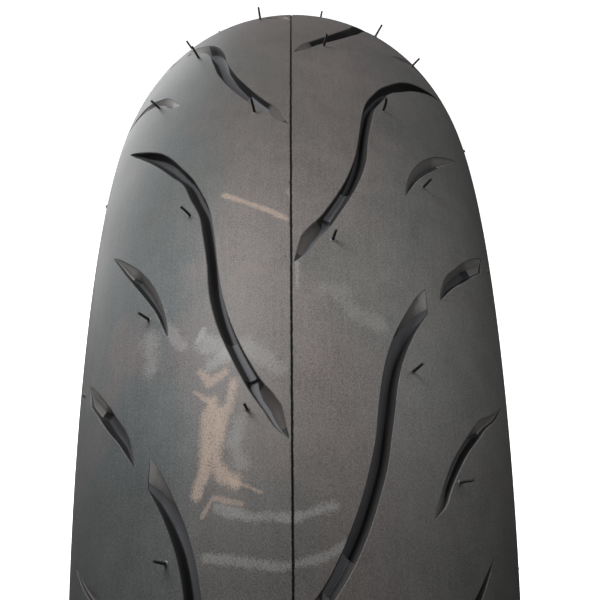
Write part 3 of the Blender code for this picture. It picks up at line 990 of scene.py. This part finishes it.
@dataclass
class TreadCap:
    """The grooved cap of the tread."""

    layers: Layers
    pattern: Pattern = field(default_factory=Pattern)
    grooves: tuple[Groove, ...] = (LONG_A, LONG_B, LEAF_1, LEAF_2, LEAF_3)
    steps: int = 372
    column: float = 0.0027
    edge: float = 3.75
    seam_half_width: float = 0.00036
    seam_depth: float = 0.0006

    def cutter(self, bm: bmesh.types.BMesh, groove: Groove, repeat: int, side: Side) -> None:
        """Add one closed loft that fills a groove.

        Args:
            bm: mesh that takes the loft.
            groove: the groove.
            repeat: number of the pitch.
            side: half of the tyre.
        """
        profile = self.layers.profile
        rows = []
        shares = groove.shares()
        for share in shares:
            inner, outer = groove.inner.at(share), groove.outer.at(share)
            ends = [self.pattern.spot(profile, repeat, side, groove.start + p.x, p.y, 0.0)
                    for p in (inner, outer)]
            width = max(0.3, (ends[1] - ends[0]).length / MM)
            row = []
            for u, depth in groove.section(share, width):
                here = inner.lerp(outer, u)
                spot = self.pattern.spot(profile, repeat, side, groove.start + here.x, here.y, depth)
                row.append(bm.verts.new(spot))
            rows.append(row)
        count = len(rows[0])
        faces = [bm.faces.new(rows[0]), bm.faces.new(rows[-1])]
        for here, there, share, following in zip(rows, rows[1:], shares, shares[1:]):
            middle = 0.5 * (share + following)
            for i in range(count):
                j = (i + 1) % count
                # Lips keep the tread rubber; walls and end caps take the copy painted in deep shade, slopes
                # and floors a copy painted for their light or shade.
                finish = WALL
                if i in (1, count - 3):
                    finish = TREAD
                elif i <= 4:
                    finish = groove.inner_finish(middle)
                elif i <= count - 6:
                    finish = groove.floor_finish(middle)
                quad = (here[i], here[j], there[j], there[i])
                for corners in ((quad[0], quad[1], quad[2]), (quad[0], quad[2], quad[3])):
                    face = bm.faces.new(corners)
                    face.material_index = finish
                    faces.append(face)
        for face in faces[:2]:
            face.material_index = WALL
        bmesh.ops.recalc_face_normals(bm, faces=faces)

    def cutters(self) -> bpy.types.Object:
        bm = bmesh.new()
        repeats = range(len(self.pattern.pitches))
        for repeat in repeats:
            for side in Side:
                for groove in self.grooves:
                    self.cutter(bm, groove, repeat, side)
        mesh = bpy.data.meshes.new("groove_cutters")
        bm.to_mesh(mesh)
        bm.free()
        return new_object("groove_cutters", mesh)

    def build(self) -> None:
        """Turn the cap, cut its grooves and dress it."""
        section = self.layers.across(self.layers.skin, self.layers.cap_in, self.edge, self.column)
        crown = section[0]
        section[0] = crown - Vector((0.0, self.seam_depth))
        section.insert(1, crown + Vector((self.seam_half_width, 0.0)))
        section.append(crown - Vector((self.seam_half_width, 0.0)))
        cap = spin_section("tread_cap_grooved", section, self.steps)
        # Groove materials are copies of one rubber with shade painted in: near black on walls, dark on floors
        # and near the tips, softer on the bars; the ramp copy is close to the tread.
        for material in (TreadRubber().build(),
                         PlainRubber("groove_wall_rubber", (0.011, 0.010, 0.010), 0.62, 0.35).build(),
                         PlainRubber("groove_floor_rubber", (0.025, 0.026, 0.030), 0.58, 0.35).build(),
                         PlainRubber("groove_shelf_rubber", (0.076, 0.079, 0.085), 0.62, 0.30).build(),
                         PlainRubber("groove_ramp_rubber", (0.104, 0.101, 0.096), 0.55, 0.40).build(),
                         PlainRubber("groove_tip_rubber", (0.044, 0.039, 0.037), 0.58, 0.35).build()):
            cap.data.materials.append(material)
        cutter = self.cutters()
        for material in cap.data.materials:
            cutter.data.materials.append(material)
        cut = cap.modifiers.new("grooves", "BOOLEAN")
        cut.operation = "DIFFERENCE"
        cut.solver = "EXACT"
        cut.material_mode = "INDEX"
        cut.object = cutter
        make_active(cap)
        bpy.ops.object.modifier_apply(modifier=cut.name)
        bpy.data.objects.remove(cutter, do_unlink=True)
        smooth(cap, 32.0)
        dress(cap, "tread_cap", "tread_rubber")
        self.report_open_edges(cap)

    @staticmethod
    def report_open_edges(obj: bpy.types.Object) -> None:
        """Log how many edges don't have two faces, and the number of triangles."""
        bm = bmesh.new()
        bm.from_mesh(obj.data)
        loose = sum(1 for e in bm.edges if len(e.link_faces) != 2)
        triangles = sum(len(f.verts) - 2 for f in bm.faces)
        LOG.info("%s: %d open edges, %d triangles", obj.name, loose, triangles)
        bm.free()


@dataclass(frozen=True)
class Vent:
    """A vent of the mould: its place in a pitch and the whisker that it leaves."""

    round_mm: float
    across_mm: float
    length: float = 0.0062
    bend: float = 0.08


VENTS = (
    Vent(10.5, 14.5), Vent(95.0, 37.5, 0.0066, 0.35), Vent(53.0, 53.0), Vent(-38.5, 42.0, 0.0072),
    Vent(-76.0, 60.0), Vent(-120.5, 14.0), Vent(38.5, 95.0, 0.0010, 0.1), Vent(-103.4, 101.0, 0.0010, 0.1),
)


@dataclass
class Whiskers:
    """Thin rubber whiskers that stand on the tread where the mould was vented."""

    profile: Profile
    pattern: Pattern
    vents: tuple[Vent, ...] = VENTS
    radius: float = 0.00056
    sides: int = 8
    rings: int = 7
    taper: float = 0.18
    root: float = 0.0004
    pad_sides: int = 12
    pad_rows: tuple[Point2, ...] = (
        (0.0010, -0.0003), (0.0010, 0.00008), (0.0008, 0.00020), (0.0004, 0.00025))
    seed: int = 4

    def build(self) -> None:
        """Model every whisker with the small pad at its foot."""
        chance = random.Random(self.seed)
        whiskers, pads = bmesh.new(), bmesh.new()
        for repeat in range(len(self.pattern.pitches)):
            for side in Side:
                for vent in self.vents:
                    foot = self.pattern.spot(self.profile, repeat, side, vent.round_mm, vent.across_mm, 0.0)
                    under = self.pattern.spot(self.profile, repeat, side, vent.round_mm, vent.across_mm, 1.0)
                    out = (foot - under).normalized()
                    self.whisker(whiskers, foot, out, vent, chance)
                    self.pad(pads, foot, out)
        for bm, name, finish in (
            (whiskers, "vent_whiskers", PlainRubber("whisker_rubber", (0.010, 0.010, 0.010), 0.45)),
            (pads, "vent_pads", PlainRubber("vent_pad_rubber", (0.085, 0.082, 0.078), 0.42)),
        ):
            bmesh.ops.recalc_face_normals(bm, faces=bm.faces)
            mesh = bpy.data.meshes.new(name)
            bm.to_mesh(mesh)
            bm.free()
            obj = new_object(name, mesh)
            smooth(obj, 50.0)
            dress(obj, None, "tread_rubber", finish.build())

    def whisker(self, bm: bmesh.types.BMesh, foot: Vector, out: Vector, vent: Vent,
                chance: random.Random) -> None:
        """Add one curved, tapering whisker."""
        side_way = out.orthogonal().normalized()
        turn = Matrix.Rotation(chance.uniform(0, 2 * math.pi), 3, out)
        lean = turn @ side_way
        bend = vent.bend * chance.uniform(0.5, 1.3)
        length = vent.length * chance.uniform(0.92, 1.08)
        loops = []
        for k in range(self.rings + 1):
            u = k / self.rings
            rise = length * (u - 0.22 * bend * u * u) - self.root
            centre = foot + out * rise + lean * (length * bend * 0.6 * u * u)
            along = (out * (1 - 0.44 * bend * u) + lean * (1.2 * bend * u)).normalized()
            loops.append(self.loop(bm, centre, along, self.radius * (1.0 - self.taper * u), self.sides))
        self.close_tube(bm, loops)

    def pad(self, bm: bmesh.types.BMesh, foot: Vector, out: Vector) -> None:
        """Add the low round pad at a whisker's foot."""
        self.close_tube(bm, [self.loop(bm, foot + out * rise, out, size, self.pad_sides)
                             for size, rise in self.pad_rows])

    @staticmethod
    def loop(bm: bmesh.types.BMesh, centre: Vector, along: Vector, size: float, sides: int) -> list:
        """Add one ring of vertices round a direction."""
        a = along.orthogonal().normalized()
        b = along.cross(a)
        turns = (2 * math.pi * i / sides for i in range(sides))
        return [bm.verts.new(centre + (a * math.cos(w) + b * math.sin(w)) * size) for w in turns]

    @staticmethod
    def close_tube(bm: bmesh.types.BMesh, loops: list[list]) -> None:
        """Join rings of vertices into a closed tube without a twist."""
        sides = len(loops[0])
        for here, there in zip(loops, loops[1:]):
            shift = min(range(sides), key=lambda s: (here[0].co - there[s].co).length)
            for i in range(sides):
                j = (i + 1) % sides
                bm.faces.new((here[i], here[j], there[(j + shift) % sides], there[(i + shift) % sides]))
        bm.faces.new(loops[0])
        bm.faces.new(loops[-1])


# --- Rings under and beside the tread ---------------------------------------------------------------
@dataclass
class Carcass:
    """The belts, plies and liner under the tread."""

    layers: Layers
    steps: int = 180
    base_edge: float = 2.75
    belt_edge: float = 1.95
    outer_ply_edge: float = 6.30
    butt_gap: float = 0.0006

    def build(self) -> None:
        """Turn and dress each ring."""
        lay = self.layers
        rubber = PlainRubber("base_rubber_matt", (0.030, 0.030, 0.031), 0.66).build()
        belt = CordFabric("belt_cord_threads", (0.34, 0.23, 0.11), (0.03, 0.03, 0.03), lean=0.0).build()
        breaker = CordFabric("breaker_cord_threads", (0.32, 0.22, 0.11), (0.03, 0.03, 0.03),
                             lean=25.0).build()
        ply = CordFabric("ply_cord_threads", (0.42, 0.36, 0.26), (0.04, 0.038, 0.035), lean=90.0).build()
        liner = PlainRubber("liner_rubber_smooth", (0.045, 0.043, 0.041), 0.36).build()
        for node, outside, inside, edge, slot, material in (
            ("tread_base", lay.base_out, lay.base_in, self.base_edge, "base_rubber", rubber),
            ("zero_degree_belt", lay.zero_out, lay.zero_in, self.belt_edge, "belt_cord", belt),
            ("breaker_ply", lay.breaker_out, lay.breaker_in, self.belt_edge, "belt_cord", breaker),
            ("carcass_ply_outer", lay.outer_ply_out, lay.outer_ply_in, self.outer_ply_edge, "ply_cord", ply),
            ("inner_liner", lay.liner_out, lay.liner_in, lay.profile.last, "liner_rubber", liner),
        ):
            self.ring(node, lay.across(outside, inside, edge), slot, material)
        self.ring("carcass_ply_inner", self.inner_ply(), "ply_cord", ply)
        start = max(lay.beyond(self.belt_edge, self.butt_gap), round(self.belt_edge))
        under_base = lay.add(lay.base_in, lay.clearance)
        over_ply = lay.add(lay.outer_ply_out, -lay.clearance)
        cushion = lay.run(under_base, start, self.base_edge) + lay.run(over_ply, self.base_edge, start)
        for side in Side:
            section = cushion if side is Side.RIGHT else lay.mirrored(cushion)
            self.ring("belt_edge_cushion_" + side.label, section, "base_rubber", rubber)

    def inner_ply(self) -> list[Vector]:
        """Section of the inner ply, which turns up round both beads."""
        lay = self.layers
        last = lay.profile.last
        seat = lay.profile.flange_top - 0.0141
        floor = seat + lay.chafer_wall + lay.clearance
        hook_in = lay.place(lay.inner_ply_out, last).x
        hook_out = lay.place(lay.outer_ply_in, last).x
        edge = lay.beyond(self.outer_ply_edge, self.butt_gap)
        right = lay.run(lay.inner_ply_out, 0, last)
        right += [Vector((hook_in, floor + lay.ply_wall)), Vector((hook_out, floor + lay.ply_wall))]
        right += lay.run(lay.outer_ply_in, last, edge) + lay.run(lay.outer_ply_out, edge, last)
        right += [Vector((hook_out + lay.ply_wall, floor)), Vector((hook_in - lay.ply_wall, floor))]
        right += lay.run(lay.inner_ply_in, last, 0)
        left = lay.mirrored(right[1:-1])
        left.reverse()
        return right + left

    def ring(self, node: str, section: list[Vector], slot: str, material: bpy.types.Material) -> None:
        """Turn one ring that stands for a part."""
        obj = spin_section(node + "_fine", section, self.steps)
        smooth(obj, 35.0)
        dress(obj, node, slot, material)


@dataclass(frozen=True)
class Rib:
    """A raised line round the sidewall: its station, height and half width along the surface."""

    station: float
    height: float
    half_width: float


@dataclass
class Sidewalls:
    """Side rubber with its moulded lines, and the strip that joins it to the tread."""

    layers: Layers
    steps: int = 240
    tread_edge: float = 3.75
    base_edge: float = 2.75
    butt_gap: float = 0.0006
    ribs: tuple[Rib, ...] = (Rib(4.55, 0.0005, 0.0006), Rib(5.95, 0.0005, 0.0006), Rib(6.45, 0.0009, 0.0009))

    def exposed(self, first: float) -> list[Vector]:
        """Outer line of the sidewall with its raised lines."""
        lay = self.layers
        last = lay.profile.last
        stations = [first + (last - first) * k / 60 for k in range(61)]
        points = []
        for station in stations:
            point, out = lay.profile.skin(station)
            low = min(int(station), last - 1)
            span = (lay.profile.skin(low + 1)[0] - lay.profile.skin(low)[0]).length
            rise = 0.0
            for rib in self.ribs:
                off = abs(station - rib.station) * span
                share = (rib.half_width * 1.6 - off) / rib.half_width
                rise = max(rise, rib.height * min(1.0, max(0.0, share)))
            points.append(point + out * rise)
        return points

    def build(self) -> None:
        """Turn and dress both sides."""
        lay = self.layers
        widest = len(lay.profile.angles) - 1
        last = lay.profile.last
        rubber = SideRubber().build()
        wing_in = lay.cap_in[:4] + [lay.wing_tip] * (last - 3)
        wing_start = lay.beyond(self.tread_edge, 0.0001)
        under_start = lay.beyond(self.base_edge, self.butt_gap)
        wing = lay.run(lay.skin, wing_start, widest, 0.0025)
        wing += [lay.place(wing_in, widest), lay.place(lay.cap_in, wing_start)]
        side_line = lay.run(lay.base_out, under_start, wing_start)
        side_line += [lay.place(lay.add(wing_in, lay.clearance), widest)]
        side_line += self.exposed(lay.beyond(widest, 0.0001))
        side_line += lay.run(lay.side_in, last, under_start)
        for side in Side:
            for node, section in (("tread_wing_", wing), ("sidewall_", side_line)):
                placed = section if side is Side.RIGHT else lay.mirrored(section)
                obj = spin_section(node + side.label + "_fine", placed, self.steps)
                smooth(obj, 28.0)
                dress(obj, node + side.label, "side_rubber", rubber)


@dataclass
class Beads:
    """Wire core, its wrap, the filler above it and the chafer that bears on the rim."""

    layers: Layers
    steps: int = 180
    core_height: float = 0.0055
    wrap_rise: float = 0.0030
    toe_length: float = 0.0035
    flange_height: float = 0.0141
    heel_chamfer: float = 0.0015
    bead_taper: float = 5.0

    def build(self) -> None:
        """Turn and dress the four rings of each bead."""
        lay = self.layers
        last = lay.profile.last
        seat = lay.profile.flange_top - self.flange_height
        hook_in = lay.place(lay.inner_ply_out, last).x
        hook_out = lay.place(lay.outer_ply_in, last).x
        gap, wall = lay.clearance, lay.wrap_wall
        ply_floor = seat + lay.chafer_wall + gap
        wrap_floor = ply_floor + lay.ply_wall + gap
        core_floor = wrap_floor + wall + gap
        core_top = core_floor + self.core_height
        wrap_top = core_top + self.wrap_rise
        wrap_in, wrap_out = hook_in + gap, hook_out - gap
        core_in, core_out = wrap_in + wall + gap, wrap_out - wall - gap
        core = [(core_in, core_floor), (core_out, core_floor), (core_out, core_top), (core_in, core_top)]
        wrap = [(wrap_in, wrap_floor), (wrap_out, wrap_floor),
                (wrap_out, wrap_top), (wrap_out - wall, wrap_top),
                (wrap_out - wall, wrap_floor + wall), (wrap_in + wall, wrap_floor + wall),
                (wrap_in + wall, wrap_top), (wrap_in, wrap_top)]
        self.pair("bead_core", core, "bead_steel", BeadWire().build())
        fabric = CordFabric("wrap_fabric_woven", (0.50, 0.44, 0.33), (0.12, 0.11, 0.09), 0.0016, 45.0).build()
        self.pair("bead_wrap", wrap, "wrap_fabric", fabric)
        filler_out = lay.add(lay.outer_ply_in, gap)
        filler_in = lay.add(lay.inner_ply_out, -gap)
        filler = [Vector((core_in, core_top + gap)), Vector((core_out, core_top + gap)),
                  Vector((core_out, wrap_top))]
        filler += lay.run(filler_out, last, last - 2) + lay.run(filler_in, last - 2, last)
        filler.append(Vector((core_in, wrap_top)))
        hard = PlainRubber("filler_rubber_hard", (0.026, 0.026, 0.026), 0.5).build()
        self.pair("bead_filler", filler, "filler_rubber", hard)
        face = lay.profile.bead_face
        toe = hook_in - lay.ply_wall - gap - self.toe_length
        slope = math.tan(math.radians(self.bead_taper))
        face_top = lay.profile.flange_top - gap
        chamfer = self.heel_chamfer
        chafer = [(face, face_top), (face, seat + chamfer), (face - 0.3 * chamfer, seat + 0.3 * chamfer),
                  (face - chamfer, seat), (toe + 0.0006, seat - slope * (face - toe)),
                  (toe, seat - slope * (face - toe) + 0.0005),
                  (lay.place(lay.liner_out, last).x, ply_floor + self.core_height),
                  (hook_in - lay.ply_wall - gap, seat + lay.chafer_wall),
                  (face - lay.chafer_wall, seat + lay.chafer_wall), (face - lay.chafer_wall, face_top)]
        smooth = PlainRubber("chafer_rubber_smooth", (0.036, 0.036, 0.037), 0.42).build()
        self.pair("chafer", chafer, "chafer_rubber", smooth)

    def pair(self, node: str, section: list, slot: str, material: bpy.types.Material) -> None:
        """Turn the same ring for both sides."""
        points = [Vector(p) for p in section]
        for side in Side:
            placed = points if side is Side.RIGHT else self.layers.mirrored(points)
            obj = spin_section(f"{node}_{side.label}_fine", placed, self.steps)
            smooth(obj, 35.0)
            dress(obj, f"{node}_{side.label}", slot, material)


# --- Studio -----------------------------------------------------------------------------------------
@dataclass(frozen=True)
class Lamp:
    """A soft area light: where it stands, its size and its power."""

    name: str
    place: tuple[float, float, float]
    aim: tuple[float, float, float]
    size: float
    power: float
    colour: Colour = (1.0, 1.0, 1.0)


@dataclass
class Studio:
    """Pale floor, soft light and the camera."""

    ground: float
    camera_distance: float = 0.7188
    camera_elevation: float = 30.0
    camera_side: float = 0.00285
    pitch_down: float = 16.647
    roll: float = -0.518
    lens: float = 78.05
    lamps: tuple[Lamp, ...] = (
        Lamp("key", (0.42, -0.62, 1.34), (0.15, 0.0, 0.2), 0.7, 22.0),
        Lamp("fill", (0.5, 1.1, 1.2), (0.2, 0.0, 0.2), 1.0, 8.0),
        Lamp("back", (-1.5, -0.9, 0.45), (-0.1, 0.0, 0.0), 1.2, 16.0),
    )

    def build(self) -> None:
        """Set up the floor, lights, surroundings and camera."""
        self.build_floor()
        self.build_sky()
        for lamp in self.lamps:
            self.build_lamp(lamp)
        self.build_camera()

    def build_floor(self) -> None:
        """A wide pale floor that the tyre stands on."""
        deselect_all()
        bpy.ops.mesh.primitive_plane_add(size=60.0, location=(0.0, 0.0, self.ground))
        floor = bpy.context.object
        floor.name = "floor"
        t = Tree("pale_floor")
        t.finish(Base_Color=(0.85, 0.85, 0.85), Roughness=0.9,
                 Emission_Color=(1.0, 1.0, 1.0), Emission_Strength=1.0)
        floor.data.materials.append(t.material)
        floor.visible_diffuse = False
        floor.visible_glossy = False
        floor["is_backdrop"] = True

    def build_sky(self) -> None:
        """Even pale surroundings, brighter overhead."""
        world = bpy.data.worlds.new("studio")
        world.use_nodes = True
        bpy.context.scene.world = world
        nodes, links = world.node_tree.nodes, world.node_tree.links
        background = nodes["Background"]
        where = nodes.new("ShaderNodeTexCoord")
        split = nodes.new("ShaderNodeSeparateXYZ")
        ramp = nodes.new("ShaderNodeMapRange")
        ramp.inputs["From Min"].default_value = -0.6
        ramp.inputs["From Max"].default_value = 0.9
        ramp.inputs["To Min"].default_value = 0.02
        ramp.inputs["To Max"].default_value = 0.30
        links.new(where.outputs["Generated"], split.inputs[0])
        links.new(split.outputs["Z"], ramp.inputs["Value"])
        links.new(ramp.outputs[0], background.inputs["Strength"])
        background.inputs["Color"].default_value = (1.0, 1.0, 1.0, 1.0)

    @staticmethod
    def build_lamp(lamp: Lamp) -> None:
        """Place one area light."""
        data = bpy.data.lights.new(lamp.name, "AREA")
        data.shape = "DISK"
        data.size = lamp.size
        data.energy = lamp.power
        data.color = lamp.colour
        obj = bpy.data.objects.new(lamp.name, data)
        bpy.context.scene.collection.objects.link(obj)
        way = Vector(lamp.aim) - Vector(lamp.place)
        obj.matrix_world = Matrix.Translation(lamp.place) @ way.to_track_quat("-Z", "Y").to_matrix().to_4x4()

    def build_camera(self) -> None:
        """Place the camera, which looks down across the front of the tread."""
        data = bpy.data.cameras.new("camera")
        data.lens = self.lens
        data.sensor_width = 36.0
        data.clip_start = 0.01
        camera = bpy.data.objects.new("camera", data)
        bpy.context.scene.collection.objects.link(camera)
        up_angle, down = math.radians(self.camera_elevation), math.radians(self.pitch_down)
        spot = Vector((math.cos(up_angle), 0.0, math.sin(up_angle))) * self.camera_distance
        spot.y = self.camera_side
        forward = Vector((-math.cos(down), 0.0, -math.sin(down)))
        right = Vector((0.0, 1.0, 0.0))
        up = right.cross(forward)
        turn = math.radians(self.roll)
        rolled_right = right * math.cos(turn) + up * math.sin(turn)
        rolled_up = up * math.cos(turn) - right * math.sin(turn)
        frame_of = Matrix((rolled_right, rolled_up, -forward)).transposed()
        camera.matrix_world = Matrix.Translation(spot) @ frame_of.to_4x4()
        bpy.context.scene.camera = camera
        bpy.context.scene.view_settings.view_transform = "Standard"


def main() -> None:
    """Build the tyre and its studio."""
    logging.basicConfig(level=logging.INFO, format="%(name)s %(message)s")
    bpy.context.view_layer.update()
    profile = Profile.from_frame()
    layers = Layers(profile)
    tread = TreadCap(layers)
    tread.build()
    Whiskers(profile, tread.pattern).build()
    Carcass(layers).build()
    Sidewalls(layers).build()
    Beads(layers).build()
    Studio(ground=-profile.outer_radius).build()


if __name__ == "__main__":
    main()
